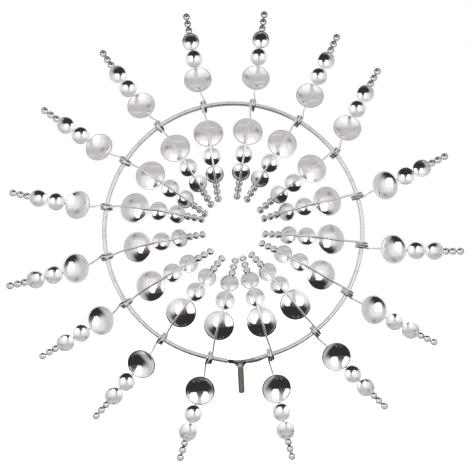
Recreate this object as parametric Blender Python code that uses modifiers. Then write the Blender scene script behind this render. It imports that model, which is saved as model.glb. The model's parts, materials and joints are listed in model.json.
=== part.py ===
"""Metal wind spinner: a hoop on a stem, with sixteen S-shaped wands that turn on the hoop.

Units are metres and +Z is up. The hoop stands in the XZ plane and its front is -Y. The origin is
the middle of the stem's lower end, which plugs into a stake or a stand.

Each wand is one wire with an eye wound round the hoop and an arm on either side of it. An arm
carries six shallow bowls on its hollow side: a big one near the eye, two medium ones, and three
small ones at the tip.
The wand's own frame has the eye's axis along X, its outer arm along +Z and its front at -Y.
"""

import math

import bmesh
import bpy
from mathutils import Matrix, Vector

MM = 0.001
MEETING_GAP = 0.3 * MM

# Hoop: a tube bent to a circle and open at the bottom, where the stem fitting closes it.
HOOP_RADIUS = 84.5 * MM
HOOP_TUBE_RADIUS = 1.5 * MM
HOOP_CENTRE_HEIGHT = 105.3 * MM
HOOP_OPENING_HALF_ANGLE = math.radians(6.6)
HOOP_SEGMENTS = 36
HOOP_SOCKET_RADIUS = 0.95 * MM
HOOP_SOCKET_DEPTH = 4.5 * MM

# Stem fitting: a rod with two legs, a peg that enters the hoop's left end, and a welded stub.
STEM_RADIUS = 1.65 * MM
STEM_END_RADIUS = 1.15 * MM
STEM_SIDES = 8
STEM_HEAD = 0.4 * MM
PEG_RADIUS = 0.65 * MM
PEG_LENGTH_IN_SOCKET = 3.6 * MM
STUB_RADIUS = 1.45 * MM
STUB_ROOT_ANGLE = math.radians(1.3)
LEG_RADIUS = 0.9 * MM
LEG_HEIGHT = 4.4 * MM
LEG_REACH = 4.6 * MM

# Wands: their places round the hoop, counted from the right of the stem and going up.
WAND_COUNT = 16
STEM_GAP_ANGLE = math.radians(26.4)
# How each wand hangs, in degrees: the outer arm's lean and the inner arm's lean, clockwise from
# the front, and the turn of the wand on the hoop, outer arm forwards.
WAND_HANG = (
    (4, 0, 1), (-5, -2, 1), (0, 0, 1), (-4, -1, 4), (-10, 1, 4), (-25, -1, 2), (-6, 2, 3), (-1, 1, 2),
    (3, 5, 2), (-1, 3, 0), (1, 2, 1), (0, -1, -4), (-4, 0, 1), (3, 4, -5), (8, 4, -3), (6, 4, 0),
)
OUTER, INNER = 1, -1
# How the bowls of each wand's arms were welded on, in degrees: the big bowl's tip towards the eye,
# and the roll of all six about the wire.
BOWL_WELDS = {
    OUTER: (
        (-2, 5), (0, -6), (-1, 9), (-7, 0), (-4, -9), (0, 5), (-3, 5), (-4, -2),
        (-2, 2), (0, 0), (-5, 0), (-5, 1), (-6, -2), (-1, -5), (-7, -1), (-1, 3),
    ),
    INNER: (
        (1, 1), (2, 7), (-1, -2), (-7, -2), (-7, 0), (-4, 0), (-2, 1), (-4, 2),
        (-4, 0), (-2, 1), (-2, 2), (0, 0), (-6, -1), (4, 5), (2, -1), (0, 6),
    ),
}

# Wire and eye.
WIRE_RADIUS = 0.65 * MM
EYE_BORE_RADIUS = 2.25 * MM
EYE_LENGTH = 3.9 * MM
EYE_SIDES = 6

# Arm: the slope of its wire against the hoop's plane goes from the first to the last angle, fast
# near the eye and slowly near the tip.
ARM_FIRST_SLOPE = math.radians(-63.5)
ARM_LAST_SLOPE = math.radians(27.2)
ARM_OPENING = 1.76
ARM_LENGTH = 73.8 * MM
ARM_STEPS = 369
# The wire passes the eye on its outer side and dips inwards again on either side of it.
ARM_DIP = 2 * MM
# The wire is straight at each of these distances along the arm, and bends half-way between them.
WIRE_STRAIGHTS = (0, 12 * MM, 27.8 * MM, 44.5 * MM, 56.6 * MM, 68.5 * MM)

# Bowls: shallow ones, each size with its mouth's radius, its depth outside, its number of sides
# and its distances along the arm from the eye.
BOWL_WALL = 0.5 * MM
BOWL_SINK = 0.3 * MM
BIG_RADIUS, BIG_DEPTH, BIG_SIDES = 9.5 * MM, 2.4 * MM, 8
BIG_PLACE = 27.8 * MM
# A tipped big bowl comes nearer to the wire than one that sits square, so all stand a little off.
TIP_ROOM = 0.1 * MM
BIG_LIFT = WIRE_RADIUS + MEETING_GAP + TIP_ROOM
MEDIUM_RADIUS, MEDIUM_DEPTH, MEDIUM_SIDES = 5.75 * MM, 1.65 * MM, 5
MEDIUM_PLACES = (44.5 * MM, 56.6 * MM)
SMALL_RADIUS, SMALL_DEPTH, SMALL_SIDES = 2.35 * MM, 1.4 * MM, 4
SMALL_PLACES = (63.9 * MM, 68.5 * MM, 73.1 * MM)


def clear_scene():
    """Removes every object that the scene starts with."""
    for obj in list(bpy.data.objects):
        bpy.data.objects.remove(obj, do_unlink=True)


def new_collection(name):
    """A collection linked to the scene."""
    collection = bpy.data.collections.new(name)
    bpy.context.scene.collection.children.link(collection)
    return collection


def metal(name, colour, roughness):
    """A Principled metal."""
    material = bpy.data.materials.new(name)
    material.use_nodes = True
    shader = material.node_tree.nodes["Principled BSDF"]
    shader.inputs["Base Color"].default_value = (*colour, 1)
    shader.inputs["Roughness"].default_value = roughness
    shader.inputs["Metallic"].default_value = 1
    return material


def place(name, mesh, collection, matrix=None, material=None):
    """An object in a collection, with its place and its material."""
    obj = bpy.data.objects.new(name, mesh)
    collection.objects.link(obj)
    obj.matrix_world = matrix or Matrix()
    if material:
        mesh.materials.clear()
        mesh.materials.append(material)
    return obj


def helper(name, mesh, cutters, matrix=None):
    """An object that another one is joined to or cut by, and that isn't a part itself."""
    obj = place(name, mesh, cutters, matrix)
    obj.hide_render = True
    obj.display_type = "WIRE"
    return obj


def combine(obj, other, operation):
    """Joins or cuts obj with a helper, exactly."""
    modifier = obj.modifiers.new(f"{operation.title()} {other.name}", "BOOLEAN")
    modifier.operation = operation
    modifier.solver = "EXACT"
    modifier.object = other


def frozen_mesh(obj, weld=1e-6):
    """The evaluated mesh of an object, welded; the object itself is removed."""
    bpy.context.view_layer.update()
    evaluated = obj.evaluated_get(bpy.context.evaluated_depsgraph_get())
    mesh = bpy.data.meshes.new_from_object(evaluated)
    matrix = obj.matrix_world.copy()
    source = obj.data
    bpy.data.objects.remove(obj)
    if isinstance(source, bpy.types.Curve):
        bpy.data.curves.remove(source)
    shape = bmesh.new()
    shape.from_mesh(mesh)
    shape.transform(matrix)
    bmesh.ops.remove_doubles(shape, verts=shape.verts, dist=weld)
    bmesh.ops.recalc_face_normals(shape, faces=shape.faces)
    shape.to_mesh(mesh)
    shape.free()
    return mesh


def tube_mesh(name, points, radius, bevel_resolution):
    """A round bar along a line of points, with closed ends."""
    curve = bpy.data.curves.new(name, "CURVE")
    curve.dimensions = "3D"
    curve.bevel_depth = radius
    curve.bevel_resolution = bevel_resolution
    curve.use_fill_caps = True
    spline = curve.splines.new("POLY")
    spline.points.add(len(points) - 1)
    for point, place_ in zip(spline.points, points):
        point.co = (*place_, 1)
    obj = bpy.data.objects.new(name, curve)
    bpy.context.scene.collection.objects.link(obj)
    return frozen_mesh(obj)


def turned_mesh(name, profile, sides):
    """A profile of (radius, height) points turned about Z."""
    mesh = bpy.data.meshes.new(name)
    corners = [(0, radius, height) for radius, height in profile]
    mesh.from_pydata(corners, [(i, i + 1) for i in range(len(corners) - 1)], [])
    obj = bpy.data.objects.new(name, mesh)
    bpy.context.scene.collection.objects.link(obj)
    screw = obj.modifiers.new("Turn", "SCREW")
    screw.steps = screw.render_steps = sides
    screw.use_merge_vertices = True
    screw.merge_threshold = 1e-6
    return frozen_mesh(obj)


def cylinder_mesh(name, radius, length, sides, matrix):
    """A cylinder about the Z axis of a matrix, centred on it."""
    mesh = bpy.data.meshes.new(name)
    shape = bmesh.new()
    bmesh.ops.create_cone(
        shape, cap_ends=True, segments=sides, radius1=radius, radius2=radius, depth=length, matrix=matrix
    )
    shape.to_mesh(mesh)
    shape.free()
    return mesh


def soften(obj):
    """Smooth shading with sharp rims, for a round piece."""
    obj.data.shade_smooth()
    obj.data.set_sharp_from_angle(angle=math.radians(50))


# ---------------------------------------------------------------- hoop and stem fitting


def hoop_point(angle):
    """A point of the hoop's middle line, at an angle from the stem, to the right."""
    return Vector(
        (HOOP_RADIUS * math.sin(angle), 0, HOOP_CENTRE_HEIGHT - HOOP_RADIUS * math.cos(angle))
    )


def hoop_arc(first, last, segments):
    """Points of the hoop's middle line between two angles from the stem."""
    return [hoop_point(first + (last - first) * i / segments) for i in range(segments + 1)]


def build_hoop(parts, cutters, steel):
    """The C-shaped tube, with a socket in its left end."""
    first, last = HOOP_OPENING_HALF_ANGLE, 2 * math.pi - HOOP_OPENING_HALF_ANGLE
    mesh = tube_mesh("hoop", hoop_arc(first, last, HOOP_SEGMENTS), HOOP_TUBE_RADIUS, 1)
    hoop = place("hoop", mesh, parts, material=steel)
    socket_angle = HOOP_SOCKET_DEPTH / HOOP_RADIUS
    socket = tube_mesh(
        "hoop_socket", hoop_arc(last - socket_angle, last + socket_angle, 2), HOOP_SOCKET_RADIUS, 1
    )
    combine(hoop, helper("hoop_socket", socket, cutters), "DIFFERENCE")
    soften(hoop)
    return hoop


def build_stem_fitting(parts, cutters, steel):
    """The stem with its two legs, the peg on the left and the welded stub on the right."""
    top = HOOP_CENTRE_HEIGHT - HOOP_RADIUS + STEM_HEAD
    chamfer = STEM_RADIUS - STEM_END_RADIUS
    profile = [(0, top), (STEM_RADIUS, top), (STEM_RADIUS, chamfer), (STEM_END_RADIUS, 0), (0, 0)]
    stem = place("stem_fitting", turned_mesh("stem_fitting", profile, STEM_SIDES), parts, material=steel)
    peg_end = -HOOP_OPENING_HALF_ANGLE - PEG_LENGTH_IN_SOCKET / HOOP_RADIUS
    stub_end = HOOP_OPENING_HALF_ANGLE - MEETING_GAP / HOOP_RADIUS
    pieces = {
        "stub": tube_mesh("stub", hoop_arc(-STUB_ROOT_ANGLE, stub_end, 3), STUB_RADIUS, 1),
        "peg": tube_mesh("peg", hoop_arc(peg_end, 2 * STUB_ROOT_ANGLE, 5), PEG_RADIUS, 1),
    }
    for side in (-1, 1):
        foot = Vector((0, 0, HOOP_CENTRE_HEIGHT - HOOP_RADIUS - LEG_HEIGHT))
        head = hoop_point(side * LEG_REACH / HOOP_RADIUS)
        pieces[f"leg{side}"] = tube_mesh("leg", [foot, head], LEG_RADIUS, 1)
    for name, mesh in pieces.items():
        combine(stem, helper(f"stem_{name}", mesh, cutters), "UNION")
    soften(stem)
    return stem


# ---------------------------------------------------------------- wands


def arm_slope(share):
    """The wire's slope against the hoop's plane, at a share of the arm's length."""
    return ARM_FIRST_SLOPE + (ARM_LAST_SLOPE - ARM_FIRST_SLOPE) * (1 - (1 - share) ** ARM_OPENING)


def arm_station(distance):
    """(outwards, forwards, slope) at a distance along the arm, measured from where it starts."""
    outwards = forwards = 0.0
    step = ARM_LENGTH / ARM_STEPS
    steps = round(distance / step)
    for i in range(steps):
        slope = arm_slope((i + 0.5) / ARM_STEPS)
        outwards += step * math.cos(slope)
        forwards += step * math.sin(slope)
    return outwards, forwards, arm_slope(distance / ARM_LENGTH)


def side_vector(outwards, forwards):
    """A vector in the wand's plane."""
    return Vector((0, -forwards, outwards))


def eye_point():
    """Where the wire's middle line touches the eye, in the wand's own frame."""
    reach = EYE_BORE_RADIUS + WIRE_RADIUS
    return side_vector(-reach * math.sin(ARM_FIRST_SLOPE), reach * math.cos(ARM_FIRST_SLOPE))


def arm_matrix(side, bend):
    """Takes an arm's own frame into the wand's: the inner arm is the outer one turned half round."""
    start = eye_point() - side_vector(ARM_DIP, 0)
    turn = Matrix() if side == OUTER else Matrix.Rotation(math.pi, 4, "X")
    return Matrix.Translation(start) @ Matrix.Rotation(side * bend, 4, "Y") @ turn


def arm_line():
    """The wire's middle line in an arm's own frame, as (outwards, forwards) points: where the
    straights meet, then the tip."""
    straights = [arm_station(distance) for distance in WIRE_STRAIGHTS]
    points = []
    for (outwards, forwards, slope), (next_out, next_fore, next_slope) in zip(straights, straights[1:]):
        step = (next_out - outwards) * math.sin(next_slope) - (next_fore - forwards) * math.cos(next_slope)
        step /= math.sin(next_slope - slope)
        points.append((outwards + step * math.cos(slope), forwards + step * math.sin(slope)))
    outwards, forwards, slope = straights[-1]
    rest = ARM_LENGTH - WIRE_STRAIGHTS[-1]
    return points + [(outwards + rest * math.cos(slope), forwards + rest * math.sin(slope))]


def wire_points(bend):
    """The wand's middle line from the inner tip, past the eye, to the outer tip."""
    arm = [side_vector(*point) for point in arm_line()]
    inner = [arm_matrix(INNER, bend) @ point for point in reversed(arm)]
    return inner + [eye_point()] + [arm_matrix(OUTER, bend) @ point for point in arm]


def bowl_mesh(radius, depth, sides, inner_rings, outer_rings):
    """A bowl that stands on its round bottom, its mouth up: part of a sphere with an even wall."""
    ball = (radius**2 + depth**2) / (2 * depth)
    rim_angle = math.acos((ball - depth) / ball)
    hollow = ball - BOWL_WALL
    hollow_angle = math.acos((ball - depth) / hollow)
    profile = [(hollow, hollow_angle * i / inner_rings) for i in range(inner_rings + 1)]
    profile += [(ball, rim_angle * i / outer_rings) for i in range(outer_rings, -1, -1)]
    points = [(size * math.sin(angle), ball - size * math.cos(angle)) for size, angle in profile]
    return turned_mesh("bowl", points, sides)


def bowl_matrix(distance, lift):
    """The place of a bowl on an arm: its bottom a lift above the wire's middle line, and its mouth
    to the hollow side."""
    outwards, forwards, slope = arm_station(distance)
    up = side_vector(-math.sin(slope), math.cos(slope))
    along = side_vector(math.cos(slope), math.sin(slope))
    turn = Matrix((up.cross(along), along, up)).transposed().to_4x4()
    return Matrix.Translation(side_vector(outwards, forwards) + up * lift) @ turn


def welded(tip, roll):
    """The turn of a bowl that was welded on askew, from degrees."""
    return Matrix.Rotation(math.radians(tip), 4, "X") @ Matrix.Rotation(math.radians(roll), 4, "Y")


def small_bowls_mesh(index, bend):
    """The ten medium and small bowls of a wand as one mesh."""
    medium = bowl_mesh(MEDIUM_RADIUS, MEDIUM_DEPTH, MEDIUM_SIDES, 1, 2)
    small = bowl_mesh(SMALL_RADIUS, SMALL_DEPTH, SMALL_SIDES, 1, 1)
    shape = bmesh.new()
    for side in (OUTER, INNER):
        roll = BOWL_WELDS[side][index][1]
        for bowl, places in ((medium, MEDIUM_PLACES), (small, SMALL_PLACES)):
            for distance in places:
                copy = bowl.copy()
                copy.transform(arm_matrix(side, bend) @ bowl_matrix(distance, BOWL_SINK) @ welded(0, roll))
                shape.from_mesh(copy)
                bpy.data.meshes.remove(copy)
    mesh = bpy.data.meshes.new("small_bowls")
    shape.to_mesh(mesh)
    shape.free()
    return mesh


def wand_angle(index):
    """The place of a wand on the hoop, as an angle from the stem, to the right."""
    return STEM_GAP_ANGLE / 2 + index * (2 * math.pi - STEM_GAP_ANGLE) / (WAND_COUNT - 1)


def wand_matrix(index):
    """Takes a wand's own frame to its place on the hoop, leaning and turned as it hangs."""
    outer_lean, inner_lean, turn = (math.radians(angle) for angle in WAND_HANG[index])
    clockwise = math.pi - wand_angle(index) + (outer_lean + inner_lean) / 2
    place_ = Matrix.Translation(hoop_point(wand_angle(index)))
    return place_ @ Matrix.Rotation(clockwise, 4, "Y") @ Matrix.Rotation(turn, 4, "X")


def build_wand(index, big_bowl, parts, cutters, steel, chrome):
    """One wand: its wire with the eye and the small bowls, and its two big bowls."""
    number = f"{index + 1:02d}"
    outer_lean, inner_lean, _ = WAND_HANG[index]
    bend = math.radians(outer_lean - inner_lean) / 2
    matrix = wand_matrix(index)
    wand = place(
        f"wand_{number}", tube_mesh("wand", wire_points(bend), WIRE_RADIUS, 0), parts, matrix, steel
    )
    along_x = Matrix.Rotation(math.pi / 2, 4, "Y")
    eye_radius = EYE_BORE_RADIUS + 2 * WIRE_RADIUS
    corner_radius = EYE_BORE_RADIUS / math.cos(math.pi / EYE_SIDES)
    eye = cylinder_mesh("eye", eye_radius, EYE_LENGTH, EYE_SIDES, along_x)
    bore = cylinder_mesh("bore", corner_radius, 3 * EYE_LENGTH, EYE_SIDES, along_x)
    combine(wand, helper(f"eye_{number}", eye, cutters, matrix), "UNION")
    combine(wand, helper(f"small_bowls_{number}", small_bowls_mesh(index, bend), cutters, matrix), "UNION")
    combine(wand, helper(f"eye_bore_{number}", bore, cutters, matrix), "DIFFERENCE")
    for side, word in ((OUTER, "outer"), (INNER, "inner")):
        seat = arm_matrix(side, bend) @ bowl_matrix(BIG_PLACE, BIG_LIFT) @ welded(*BOWL_WELDS[side][index])
        place(f"{word}_big_bowl_{number}", big_bowl, parts, matrix @ seat, chrome)
    return wand


def main():
    clear_scene()
    parts = new_collection("metal_wind_spinner")
    cutters = new_collection("cutters")
    hoop_steel = metal("polished_steel_tube", (0.72, 0.71, 0.68), 0.18)
    stem_steel = metal("brushed_steel", (0.36, 0.33, 0.30), 0.42)
    wire_steel = metal("bright_wire", (0.78, 0.78, 0.77), 0.12)
    chrome = metal("chrome", (0.88, 0.88, 0.88), 0.04)
    build_hoop(parts, cutters, hoop_steel)
    build_stem_fitting(parts, cutters, stem_steel)
    big_bowl = bowl_mesh(BIG_RADIUS, BIG_DEPTH, BIG_SIDES, 2, 2)
    big_bowl.shade_smooth()
    for index in range(WAND_COUNT):
        build_wand(index, big_bowl, parts, cutters, wire_steel, chrome)


main()
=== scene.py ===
"""Looks of a metal wind spinner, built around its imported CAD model.

Units are metres and +Z is up. The hoop stands in the XZ plane and its front is -Y. A hoop on a
plug-in stem carries sixteen wands. Each wand is one wire: it is wound twice round the hoop, and
an arm leaves the coil on either side. An arm carries six chrome cups on its hollow side.

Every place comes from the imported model: the joints give where each wand hangs, and the big cups
of the model give how its arms lie. A piece is modelled in a small frame of its own and is then
moved to its place in its mesh, so that its object stays at the origin, unturned and unscaled.
"""

import json
import logging
import math
from collections.abc import Callable, Iterable, Iterator, Mapping, Sequence
from contextlib import contextmanager
from dataclasses import dataclass, field, fields
from enum import Enum
from typing import Any, NamedTuple

import bpy
import numpy as np
from mathutils import Matrix, Vector


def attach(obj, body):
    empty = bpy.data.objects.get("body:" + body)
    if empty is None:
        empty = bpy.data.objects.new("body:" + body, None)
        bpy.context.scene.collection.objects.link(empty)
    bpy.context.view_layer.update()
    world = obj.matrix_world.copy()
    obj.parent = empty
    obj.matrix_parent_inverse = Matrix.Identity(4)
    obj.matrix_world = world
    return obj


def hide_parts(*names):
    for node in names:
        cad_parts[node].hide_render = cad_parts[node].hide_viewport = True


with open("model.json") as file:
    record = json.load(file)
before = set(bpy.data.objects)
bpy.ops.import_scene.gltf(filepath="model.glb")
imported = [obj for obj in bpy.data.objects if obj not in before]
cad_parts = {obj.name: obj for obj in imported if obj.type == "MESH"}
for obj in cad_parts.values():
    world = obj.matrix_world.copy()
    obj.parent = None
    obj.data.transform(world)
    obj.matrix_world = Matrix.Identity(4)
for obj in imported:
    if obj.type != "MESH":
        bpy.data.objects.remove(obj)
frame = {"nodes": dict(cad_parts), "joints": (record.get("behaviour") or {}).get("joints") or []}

LOG = logging.getLogger("wind_spinner")
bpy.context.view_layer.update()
MM = 0.001
UP = Vector((0, 0, 1))
Colour = tuple[float, float, float]


def eased(share: float) -> float:
    """A share from 0 to 1 that leaves both ends gently."""
    held = min(1.0, max(0.0, share))
    return held**2 * (3 - 2 * held)


def frame_of(right: Vector, along: Vector, up: Vector) -> Matrix:
    """The turn that takes the X, Y and Z axes to three directions."""
    return Matrix((right, along, up)).transposed().to_4x4()


# ---------------------------------------------------------------- materials


class Mark(Enum):
    """What a mesh stores at each of its points for its finish, from 0 to 1."""

    HEAT = "heat"
    # Painted light and shade: shade along the tube's sides, at the cup rims and on the coils, and highlights
    # on the stem fitting.
    STAIN = "stain"

    def over(self, book: "NodeBook") -> "Signal":
        """How strong the mark is at each point."""
        return book.node("ShaderNodeAttribute", {"attribute_name": self.value}, output="Fac")


class Clouds(NamedTuple):
    """Cloudy noise: features to a metre, octaves, and how strong the finer octaves are."""

    scale: float
    octaves: float
    roughness: float


class Patches(NamedTuple):
    """Soft patches: they start and are full at these heights of cloudy noise."""

    clouds: Clouds
    start: float
    full: float

    def over(self, book: "NodeBook", where: "Signal | None" = None) -> "Signal":
        """1 inside a patch, at a surface point or at another place."""
        return book.step(book.noise(self.clouds, where), self.start, self.full)


class Stretch(NamedTuple):
    """A stretch to one side: it starts and is full at these places along X, in metres."""

    start: float
    full: float

    def over(self, book: "NodeBook") -> "Signal":
        """1 inside the stretch."""
        return book.step(book.parts(book.place())[0], self.start, self.full)


class Relief(NamedTuple):
    """Low relief: cloudy noise, the share of its tilt that is kept and metres for a height of 1."""

    clouds: Clouds
    strength: float
    height: float


class Signal:
    """A number that varies over a surface: a node's socket with arithmetic on it."""

    def __init__(self, book: "NodeBook", socket: bpy.types.NodeSocket) -> None:
        """Keeps the socket and the book whose nodes it belongs to.

        Args:
            book: The nodes that new Math nodes are added to.
            socket: The output socket that holds the number.
        """
        self.book = book
        self.socket = socket

    def function(self, operation: str, *others: "Signal | float") -> "Signal":
        """A Math operation on this number and on others, by its name."""
        return self.book.math(operation, self, *others)

    def __add__(self, other: "Signal | float") -> "Signal":
        """The sum."""
        return self.function("ADD", other)

    def __sub__(self, other: "Signal | float") -> "Signal":
        """The difference."""
        return self.function("SUBTRACT", other)

    def __rsub__(self, other: float) -> "Signal":
        """The difference, with a plain number first."""
        return self.book.math("SUBTRACT", other, self)

    def __mul__(self, other: "Signal | float") -> "Signal":
        """The product."""
        return self.function("MULTIPLY", other)

    def __abs__(self) -> "Signal":
        """The number without its sign."""
        return self.function("ABSOLUTE")

    __radd__ = __add__
    __rmul__ = __mul__


class NodeBook:
    """The nodes of one material or of the world."""

    FIRST_COLOUR, SECOND_COLOUR, MIXED_COLOUR = 6, 7, 2  # the Mix node's sockets for colours

    def __init__(self, tree: bpy.types.NodeTree) -> None:
        """Keeps the node tree."""
        self.tree = tree

    def node(
        self,
        kind: str,
        settings: Mapping[str, Any] | None = None,
        inputs: Mapping[int | str, Any] | None = None,
        output: int | str = 0,
    ) -> Signal:
        """Adds a node, sets it up and joins its inputs.

        Args:
            kind: The node's type.
            settings: The node's own properties.
            inputs: Sockets by name or number, each with a value or a Signal.
            output: The socket that is returned.

        Returns:
            The chosen output.
        """
        node = self.tree.nodes.new(kind)
        for name, value in (settings or {}).items():
            setattr(node, name, value)
        for key, value in (inputs or {}).items():
            self.feed(node.inputs[key], value)
        return Signal(self, node.outputs[output])

    def feed(self, socket: bpy.types.NodeSocket, value: Any) -> None:
        """Links a Signal to a socket, or sets a plain value on it.

        Args:
            socket: The input socket.
            value: A Signal, or what the socket holds.
        """
        if isinstance(value, Signal):
            self.tree.links.new(value.socket, socket)
        else:
            socket.default_value = value

    def math(self, operation: str, *operands: Signal | float) -> Signal:
        """One Math node on these operands."""
        return self.node("ShaderNodeMath", {"operation": operation}, dict(enumerate(operands)))

    def parts(self, vector: Signal) -> list[Signal]:
        """The three numbers of a vector."""
        made = self.node("ShaderNodeSeparateXYZ", inputs={0: vector})
        return [Signal(self, socket) for socket in made.socket.node.outputs]

    def place(self) -> Signal:
        """The surface point in the object's own coordinates, in metres."""
        return self.node("ShaderNodeTexCoord", output="Object")

    def noise(self, clouds: Clouds, where: Signal | None = None) -> Signal:
        """Cloudy noise from 0 to 1.

        Args:
            clouds: Its scale, octaves and roughness.
            where: The place that is looked up, if not the surface point itself.

        Returns:
            The noise's height.
        """
        names = ("Vector", "Scale", "Detail", "Roughness")
        return self.node("ShaderNodeTexNoise", inputs=dict(zip(names, (where or self.place(), *clouds))))

    def step(self, value: Signal, start: float, full: float) -> Signal:
        """0 before the start, 1 past where it is full and smooth between; the start may be the larger."""
        inputs = {"Value": value, "From Min": start, "From Max": full}
        return self.node("ShaderNodeMapRange", {"interpolation_type": "SMOOTHSTEP"}, inputs)

    def blend(self, share: Signal | float, first: Signal | Colour, second: Signal | Colour) -> Signal:
        """A colour between two colours.

        Args:
            share: 0 for the first colour and 1 for the second.
            first: A colour or a Signal that holds one.
            second: A colour or a Signal that holds one.

        Returns:
            The mixed colour.
        """
        first, second = (value if isinstance(value, Signal) else (*value, 1) for value in (first, second))
        inputs = {"Factor": share, self.FIRST_COLOUR: first, self.SECOND_COLOUR: second}
        return self.node("ShaderNodeMix", {"data_type": "RGBA"}, inputs, self.MIXED_COLOUR)

    def relief(self, relief: Relief) -> Signal:
        """A normal that is tilted by low relief."""
        inputs = {"Height": self.noise(relief.clouds), "Strength": relief.strength, "Distance": relief.height}
        return self.node("ShaderNodeBump", inputs=inputs)


class Coat(NamedTuple):
    """What covers a finish where a mask is full: its colour, its share there and how much rougher it is."""

    mask: Mark | Patches | Stretch
    colour: Colour
    share: float = 1.0
    roughness: float = 0.0


@dataclass(frozen=True)
class Finish:
    """A metal finish that builds its own material: bare metal, then each of its coats in their order."""

    name: str
    bare: Colour
    roughness: float
    relief: Relief
    metallic: float = 1.0

    def material(self) -> bpy.types.Material:
        """Builds the material.

        Returns:
            A Principled metal dressed by this finish.
        """
        made = bpy.data.materials.new(self.name)
        made.use_nodes = True
        book = NodeBook(made.node_tree)
        shader = made.node_tree.nodes["Principled BSDF"]
        colour, roughness = self.bare, self.roughness
        for coat in (getattr(self, item.name) for item in fields(self)):
            if isinstance(coat, Coat):
                cover = coat.mask.over(book)
                colour = book.blend(cover * coat.share, colour, coat.colour)
                roughness = roughness + cover * coat.roughness
        normal = book.relief(self.relief)
        dress = {"Base Color": colour, "Roughness": roughness, "Metallic": self.metallic, "Normal": normal}
        for socket, value in dress.items():
            book.feed(shader.inputs[socket], value)
        LOG.info("finish %s", self.name)
        return made


@dataclass(frozen=True)
class MirrorChrome(Finish):
    """Bright plating over stamped sheet, a little wavy, with faint haze and painted shade, a darker band,
    along the rim.
    """

    name: str = "mirror_chrome"
    bare: Colour = (0.90, 0.90, 0.905)
    roughness: float = 0.035
    relief: Relief = Relief(Clouds(130, 1.5, 0.4), 1.0, 0.12 * MM)
    haze: Coat = Coat(Patches(Clouds(420, 4, 0.6), 0.45, 0.75), (0.80, 0.80, 0.81), roughness=0.07)
    # Painted shade: a dark band along each cup's rim.
    cut_edge: Coat = Coat(Mark.STAIN, (0.07, 0.065, 0.065))


@dataclass(frozen=True)
class BrightWire(Finish):
    """Drawn wire, bright, with dull patches, fine draw marks, a brown tint at the welds and painted shade on
    the coil.
    """

    name: str = "bright_wire"
    bare: Colour = (0.97, 0.97, 0.965)
    roughness: float = 0.12
    relief: Relief = Relief(Clouds(1400, 3, 0.6), 0.35, 0.05 * MM)
    dull: Coat = Coat(Patches(Clouds(260, 4, 0.6), 0.42, 0.7), (0.86, 0.85, 0.84), roughness=0.12)
    burnt: Coat = Coat(Mark.HEAT, (0.45, 0.37, 0.31), share=0.8, roughness=0.18)
    # Painted shade on the coil: underneath it, on its outer flanks and at its ends.
    grime: Coat = Coat(Mark.STAIN, (0.085, 0.075, 0.065))


@dataclass(frozen=True)
class PolishedTube(Finish):
    """Polished stainless tube, with faint scuffs from the wands, painted shade along its inner and outer side
    and a burnt end.
    """

    name: str = "polished_tube"
    bare: Colour = (0.87, 0.865, 0.855)
    roughness: float = 0.30
    relief: Relief = Relief(Clouds(900, 3, 0.55), 0.16, 0.02 * MM)
    scuffs: Coat = Coat(Patches(Clouds(340, 5, 0.65), 0.5, 0.72), (0.66, 0.65, 0.635), roughness=0.10)
    # Painted shade along the tube's inner and outer side, so that its middle looks lit.
    tarnish: Coat = Coat(Mark.STAIN, (0.40, 0.39, 0.38))
    burnt: Coat = Coat(Mark.HEAT, (0.36, 0.27, 0.21), roughness=0.2)


@dataclass(frozen=True)
class DullRod(Finish):
    """Brownish steel rod: bluish near the weld, pinkish along the stub, with a sooty peg, mill scale and
    painted highlights on the crotch and the ridge.
    """

    name: str = "dull_rod"
    bare: Colour = (0.165, 0.15, 0.135)
    roughness: float = 0.24
    relief: Relief = Relief(Clouds(2600, 4, 0.7), 0.6, 0.08 * MM)
    blue: Coat = Coat(Mark.HEAT, (0.115, 0.13, 0.14))
    pink_stub: Coat = Coat(Stretch(2.6 * MM, 4.6 * MM), (0.50, 0.445, 0.40))
    sooty_peg: Coat = Coat(Stretch(-3.2 * MM, -4.6 * MM), (0.045, 0.045, 0.05))
    scale: Coat = Coat(Patches(Clouds(500, 5, 0.65), 0.48, 0.7), (0.10, 0.085, 0.075), 0.45, 0.16)
    # Painted highlights: the crotch between the legs and the top of the ridge are lighter.
    ground: Coat = Coat(Mark.STAIN, (0.50, 0.51, 0.52))


@dataclass(frozen=True)
class WeldScale(Finish):
    """A weld bead: rippled, with grey metal that shows through brown scale, and half matt."""

    name: str = "weld_scale"
    bare: Colour = (0.11, 0.07, 0.05)
    roughness: float = 0.4
    relief: Relief = Relief(Clouds(1500, 4, 0.6), 0.8, 0.15 * MM)
    metallic: float = 0.9
    grey: Coat = Coat(Patches(Clouds(700, 4, 0.6), 0.42, 0.62), (0.30, 0.27, 0.24), roughness=-0.12)


# ---------------------------------------------------------------- modelling by operators


class Element(Enum):
    """What is selected in edit mode: its select mode, and where a mesh keeps it."""

    POINT = ("VERT", "vertices")
    EDGE = ("EDGE", "edges")
    FACE = ("FACE", "polygons")


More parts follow.
